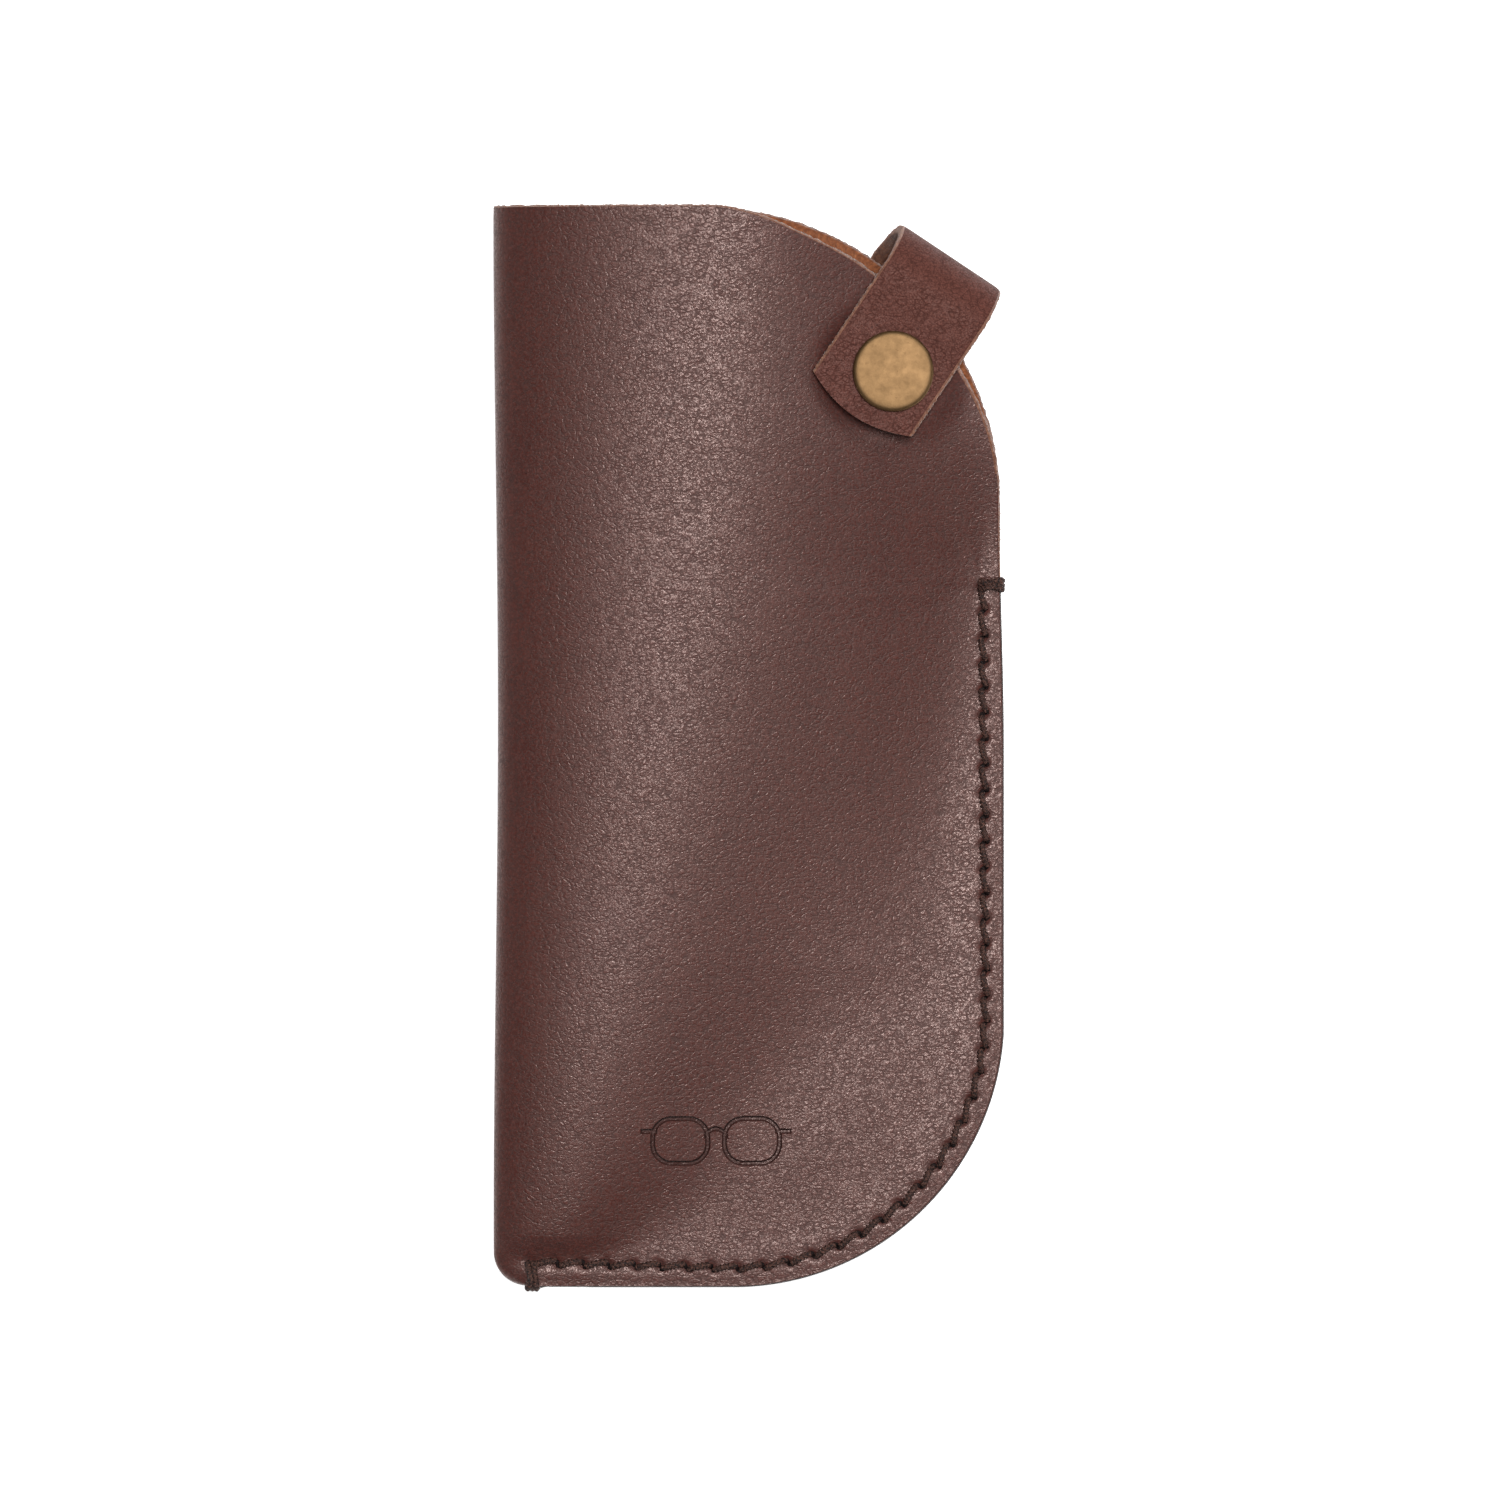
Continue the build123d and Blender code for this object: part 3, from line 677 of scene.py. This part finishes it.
def build_pouch():
    y = row_heights()
    outer, inner = panel_faces_grid(y)
    rows, columns = outer.shape[:2]
    points = np.concatenate([outer.reshape(-1, 3), inner.reshape(-1, 3)])
    faces = []
    slots = []
    base = rows * columns
    for row in range(rows - 1):
        for column in range(columns - 1):
            a = row * columns + column
            faces.append((a, a + columns, a + columns + 1, a + 1))
            # a raw lip shows along the front panel's mouth
            lip = column == columns - 2 and y[row] > MOUTH_CORNER[1] + 4
            slots.append(ON_RAW_EDGE if lip else ON_GRAIN)
            faces.append((base + a, base + a + 1, base + a + columns + 1, base + a + columns))
            slots.append(ON_FLESH)
    # Cut edges, as strips that bulge a little between the two faces and fray round the mouth
    ring = rim(rows, columns)
    outward = rim_directions(points, ring, rows, columns)
    top = points[ring]
    under = points[[base + index for index in ring]]
    raw = smooth((top[:, 1] - MOUTH_TACK[1]) / 12)[:, None]
    fray = np.random.default_rng(11)
    strips = []
    for share, bulge in ((0.10, 0.14), (0.30, 0.22), (0.50, 0.24), (0.70, 0.22), (0.90, 0.12)):
        fuzz = (fray.random((len(ring), 1)) ** 2 - 0.2) * 0.24 * raw
        strips.append(top + (under - top) * share + outward * (bulge + fuzz))
    start = len(points)
    points = np.concatenate([points] + strips)
    count = len(ring)
    tracks = [ring]
    for k in range(len(strips)):
        tracks.append([start + k * count + i for i in range(count)])
    tracks.append([base + index for index in ring])
    for upper, lower in zip(tracks, tracks[1:]):
        for i in range(count):
            j = (i + 1) % count
            faces.append((upper[i], lower[i], lower[j], upper[j]))
            slots.append(ON_RAW_EDGE if top[i][1] > MOUTH_TACK[1] else ON_BURNISHED)
    return mesh_object("leather_pouch", points, faces, [GRAIN, FLESH, EDGE, BURNISHED], slots)


pouch = build_pouch()
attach(pouch, "pouch")
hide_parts("pouch_panel")


# ---------------------------------------------------------------- stitching
def thread_path(front):
    """A thread that runs over the leather between holes and dives into each one."""
    path = []
    side = 1 if front else -1
    for index in range(STITCHES):
        x0, y0, a0 = HOLES[index]
        x1, y1, a1 = HOLES[index + 1]
        for share in np.linspace(0, 1, STITCH_STEPS, endpoint=False):
            x = x0 + (x1 - x0) * share
            y = y0 + (y1 - y0) * share
            angle = a0 + (a1 - a0) * share
            slant = (0.42 - 0.84 * share) * side
            offset = slant - 0.22 * math.sin(math.pi * share)
            x += math.sin(angle) * offset
            y -= math.cos(angle) * offset
            rise = math.sin(math.pi * share) ** 0.45
            if front:
                surface = float(front_height(np.array(x), np.array(y)))
                z = surface - 1.1 + (1.1 + THREAD * 0.45) * rise
            else:
                surface = float(back_lift(np.array(x), np.array(y)))
                z = surface + 1.2 - (1.2 - THREAD * 0.9) * rise
            path.append((x, y, z))
    return path


def seam_thread(name, front):
    steps = np.arange(STITCHES * STITCH_STEPS) % STITCH_STEPS
    # The rows next to each hole take the near-black look, as painted hole shade
    in_hole = (steps < 2) | (steps >= STITCH_STEPS - 2)
    looks = [THREAD_LOOK, THREAD_HOLE_SHADE]
    return tube(name, thread_path(front), THREAD, looks, ply=0.8, turns_per_mm=0.75, dark=in_hole)


front_thread = seam_thread("thread_front", True)
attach(front_thread, "pouch")
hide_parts("seam_thread_front")
back_thread = seam_thread("thread_back", False)
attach(back_thread, "pouch")
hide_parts("seam_thread_back")


def bar_tack(name, hole, outward, reach, high, node):
    """Turns of thread from a hole round the panel's edge and back, crossing each other on top."""
    # Each corner is a distance out from the hole, a distance sideways and a height
    path = []
    sideways = (-outward[1], outward[0])
    crossings = ((-0.7, 0.65, 0.0), (0.7, -0.65, 0.3), (-0.6, 0.0, 0.55), (0.15, 0.75, 0.15))
    for turn, (near, far, lift) in enumerate(crossings):
        after = crossings[(turn + 1) % len(crossings)][0]
        corners = [
            (-0.1, near, high - 0.5),
            (reach * 0.25, near * 0.8 + far * 0.2, high + lift),
            (reach * 0.75, near * 0.2 + far * 0.8, high + lift),
            (reach + 0.15, far, high - 0.2),
            (reach + 0.5, far, high * 0.5),
            (reach + 0.15, far, 0.45),
            (reach * 0.5, (far + after) / 2, 0.2 + 0.05 * turn),
            (-0.1, after, 0.5),
        ]
        if turn == len(crossings) - 1:
            corners = corners[:-1]
        for out, aside, z in corners:
            x = hole[0] + outward[0] * out + sideways[0] * aside
            y = hole[1] + outward[1] * out + sideways[1] * aside
            path.append((x, y, z))
    path = np.array(path)
    share = np.arange(len(path))
    dense = np.linspace(0, len(path) - 1, len(path) * 7)
    path = np.column_stack([np.interp(dense, share, path[:, k]) for k in range(3)])
    for _ in range(5):
        path[1:-1] = (path[:-2] + 2 * path[1:-1] + path[2:]) / 4
    tack = tube(name, path, 0.40, [THREAD_LOOK], ply=0.9, turns_per_mm=0.9)
    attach(tack, "pouch")
    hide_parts(node)


bar_tack("tack_mouth", MOUTH_TACK, (1, 0), 39.3 - MOUTH_TACK[0], SEAM_TOP + 0.5, "mouth_bar_tack")
foot_high = float(front_height(np.array(FOOT_TACK[0] + 1), np.array(BOTTOM_Y + 3))) + 0.4
bar_tack("tack_foot", FOOT_TACK, (0, -1), FOOT_TACK[1] - BOTTOM_Y, foot_high, "foot_bar_tack")


# ---------------------------------------------------------------- strap
ROOT_MIDDLE = ROOT_Z + LEATHER / 2
FLAP_MIDDLE = FLAP_Z + LEATHER / 2
LOOP_MIDDLE = BEND_RADIUS - LEATHER / 2
LOOP_Z = ROOT_Z + BEND_RADIUS
LOOP_LENGTH = math.pi * LOOP_MIDDLE
ROOT_LENGTH = BEND_S - ROOT_END
FLAP_LENGTH = BEND_S - TIP_END
FULL_LENGTH = ROOT_LENGTH + LOOP_LENGTH + FLAP_LENGTH
TIP_ARC = 2.3


def crest(run):
    """How far the top of the loop stands above the strap's flat front."""
    past = run - ROOT_LENGTH - LOOP_LENGTH
    width = 8.0 if past < 0 else 8.5
    return 0.55 * float(smooth(1 - abs(past) / width))


def strap_middle(run):
    """Point and outward direction on the strap's mid-line, by distance from its root's end."""
    if run < ROOT_LENGTH:
        return (ROOT_END + run, ROOT_MIDDLE), (0.0, -1.0)
    if run < ROOT_LENGTH + LOOP_LENGTH:
        angle = -math.pi / 2 + (run - ROOT_LENGTH) / LOOP_MIDDLE
        out = (math.cos(angle), math.sin(angle))
        return (BEND_S + LOOP_MIDDLE * out[0], LOOP_Z + LOOP_MIDDLE * out[1] + crest(run)), out
    past = run - ROOT_LENGTH - LOOP_LENGTH
    return (BEND_S - past, FLAP_MIDDLE + crest(run)), (0.0, 1.0)


def lean(run):
    """The strap comes off the back a little to the left of where it lies on the front."""
    return -2.4 * (1 - float(smooth((run - ROOT_LENGTH) / LOOP_LENGTH)))


def strap_piece(name, start, end, tip=False):
    """One closed length of the strap, from one distance along it to another."""
    half = STRAP_WIDTH / 2
    steps = max(int((end - start) / 0.3), 8)
    widths = np.concatenate([[-1, -0.972], np.linspace(-0.95, 0.95, 37), [0.972, 1]])
    # Bulge of the cut edge, and the level through the leather that it has it at
    edge_profile = [(0.12, 0.36), (0.18, 0.0), (0.12, -0.36)]
    fray = np.random.default_rng(int(start * 10) + 3)
    loops = []
    for index in range(steps + 1):
        share = index / steps
        ring = []
        for layer, order in ((0.5, widths), (-0.5, widths[::-1])):
            for width in order:
                run = start + (end - start) * share
                if tip:
                    # the cut end is a shallow arc
                    run = start + (end - TIP_ARC * width * width - start) * share
                (s, z), out = strap_middle(run)
                depth = layer * LEATHER * (1 - 0.16 * abs(width) ** 24)
                w = STRAP_SHIFT + width * half + lean(run)
                ring.append(strap_point(s + out[0] * depth, w, z + out[1] * depth))
            side = 1 if layer > 0 else -1
            for bulge, level in edge_profile:
                run = start + (end - (TIP_ARC if tip else 0) - start) * share
                (s, z), out = strap_middle(run)
                ends_clear = float(smooth(min(index, steps - index) / 3))
                fuzz = (fray.random() ** 2 - 0.2) * 0.17 * ends_clear
                w = STRAP_SHIFT + side * (half + bulge + fuzz) + lean(run)
                depth = level * LEATHER * side
                ring.append(strap_point(s + out[0] * depth, w, z + out[1] * depth))
        loops.append(ring)
    columns = len(loops[0])
    points = np.array(loops).reshape(-1, 3)
    faces = []
    slots = []
    count = len(widths)
    for row in range(steps):
        for column in range(columns):
            after = (column + 1) % columns
            low = row * columns
            high = low + columns
            faces.append((low + column, high + column, high + after, low + after))
            if 0 < column < count - 2:
                slots.append(ON_GRAIN)
            elif count + 3 <= column < 2 * count + 2:
                slots.append(ON_FLESH)
            else:
                slots.append(ON_RAW_EDGE)
    # Each end is closed with strips across the leather's thickness
    last = steps * columns
    for base, flip in ((0, False), (last, True)):
        ends = []
        for k in range(count - 1):
            under = 2 * count + 2 - k
            ends.append((base + k, base + k + 1, base + under - 1, base + under))
        ends.append(tuple(base + k for k in range(count - 1, count + 4)))
        ends.append((base + 2 * count + 2, *(base + 2 * count + 3 + k for k in range(3)), base))
        faces += [face[::-1] if flip else face for face in ends]
        slots += [ON_RAW_EDGE] * len(ends)
    piece = mesh_object(name, points, faces, [STRAP_GRAIN, STRAP_FLESH_AND_SHADE, EDGE], slots)
    sharpen(piece, 50)
    return piece


def loop_run(angle):
    return ROOT_LENGTH + LOOP_MIDDLE * math.radians(angle + 90)


strap_a = strap_piece("strap_back", 0.0, loop_run(-60))
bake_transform(strap_a)
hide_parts("strap_root")
strap_b = strap_piece("strap_loop_low", loop_run(-60), loop_run(0))
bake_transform(strap_b)
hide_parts("strap_bend_1")
strap_c = strap_piece("strap_loop_high", loop_run(0), loop_run(60))
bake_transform(strap_c)
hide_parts("strap_bend_2")
strap_d = strap_piece("strap_front", loop_run(60), FULL_LENGTH, tip=True)
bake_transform(strap_d)
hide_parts("strap_bend_3", "strap_flap")


# ---------------------------------------------------------------- snap and rivet
cap_base = FLAP_Z + LEATHER
cap_profile = [
    (0, cap_base - 0.3),
    (3.0, cap_base - 0.3),
    (5.6, cap_base - 0.12),
    (6.1, cap_base + 0.1),
    (6.27, cap_base + 0.4),
    (CAP_RADIUS, cap_base + 0.75),
    (6.25, cap_base + 0.98),
    (6.12, cap_base + 1.16),
    (5.92, cap_base + 1.28),
    (5.65, cap_base + 1.345),
    (5.3, cap_base + 1.375),
    (4.4, cap_base + 1.405),
    (3.0, cap_base + 1.43),
    (1.5, cap_base + 1.45),
    (0, cap_base + 1.455),
]
cap = lathe("cap_brass", cap_profile, SNAP, BRASS)
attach(cap, "flap")
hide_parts("snap_cap")
for node, material in (
    ("snap_socket", BRASS),
    ("snap_stud", BRASS),
    ("snap_eyelet", BRASS),
    ("rivet_cap", BRASS),
    ("rivet_post", BRASS),
    ("socket_spring", STEEL),
):
    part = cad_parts[node]
    for material_slot in part.material_slots:
        material_slot.material = material


# ---------------------------------------------------------------- stage, camera and lights
floor_look = Nodes("floor_white")
floor_look.set(colour=(0.86, 0.86, 0.86), roughness=0.9, specular=0.0)
floor_look.shader.inputs["Emission Color"].default_value = (1, 1, 1, 1)
floor_look.shader.inputs["Emission Strength"].default_value = 0.85
floor = mesh_object(
    "floor",
    [(-3000, -3000, -0.05), (3000, -3000, -0.05), (3000, 3000, -0.05), (-3000, 3000, -0.05)],
    [(0, 1, 2, 3)],
    [floor_look.material],
)

# The camera looks straight down and sees a given width, in metres, at the height of the panel
CAMERA_HEIGHT = 3.0
PANEL_HEIGHT = 0.006
SEEN_WIDTH = 0.2344
SENSOR_WIDTH = 36
camera_data = bpy.data.cameras.new("camera")
camera_data.sensor_width = SENSOR_WIDTH
camera_data.lens = SENSOR_WIDTH * (CAMERA_HEIGHT - PANEL_HEIGHT) / SEEN_WIDTH
camera = bpy.data.objects.new("camera", camera_data)
camera.location = (0.0003, -0.0006, CAMERA_HEIGHT)
bpy.context.collection.objects.link(camera)
bpy.context.scene.camera = camera


def area_light(name, place, size, power):
    """A rectangular lamp that faces the object."""
    light = bpy.data.lights.new(name, "AREA")
    light.shape = "RECTANGLE"
    light.size, light.size_y = size
    light.energy = power
    lamp = bpy.data.objects.new(name, light)
    lamp.location = place
    lamp.rotation_euler = (-Vector(place)).to_track_quat("-Z", "Y").to_euler()
    bpy.context.collection.objects.link(lamp)


area_light("overhead", (0.22, 0.40, 3.2), (0.45, 1.0), 105.0)
area_light("key", (1.5, 1.5, 2.2), (1.0, 1.0), 22.0)
area_light("rim", (-1.6, -1.3, 0.5), (1.3, 0.35), 2.0)

world = bpy.data.worlds.new("studio")
world.use_nodes = True
# Almost dark overhead and brighter toward the horizon, as in a white studio
sky = world.node_tree
direction = sky.nodes.new("ShaderNodeTexCoord")
split = sky.nodes.new("ShaderNodeSeparateXYZ")
band = sky.nodes.new("ShaderNodeMapRange")
band.inputs["From Min"].default_value = 0.10
band.inputs["From Max"].default_value = 0.60
band.inputs["To Min"].default_value = 0.24
band.inputs["To Max"].default_value = 0.03
sky.links.new(direction.outputs["Generated"], split.inputs[0])
sky.links.new(split.outputs["Z"], band.inputs["Value"])
sky.links.new(band.outputs["Result"], sky.nodes["Background"].inputs["Strength"])
sky.nodes["Background"].inputs["Color"].default_value = (1, 1, 1, 1)
bpy.context.scene.world = world
bpy.context.scene.view_settings.view_transform = "Standard"
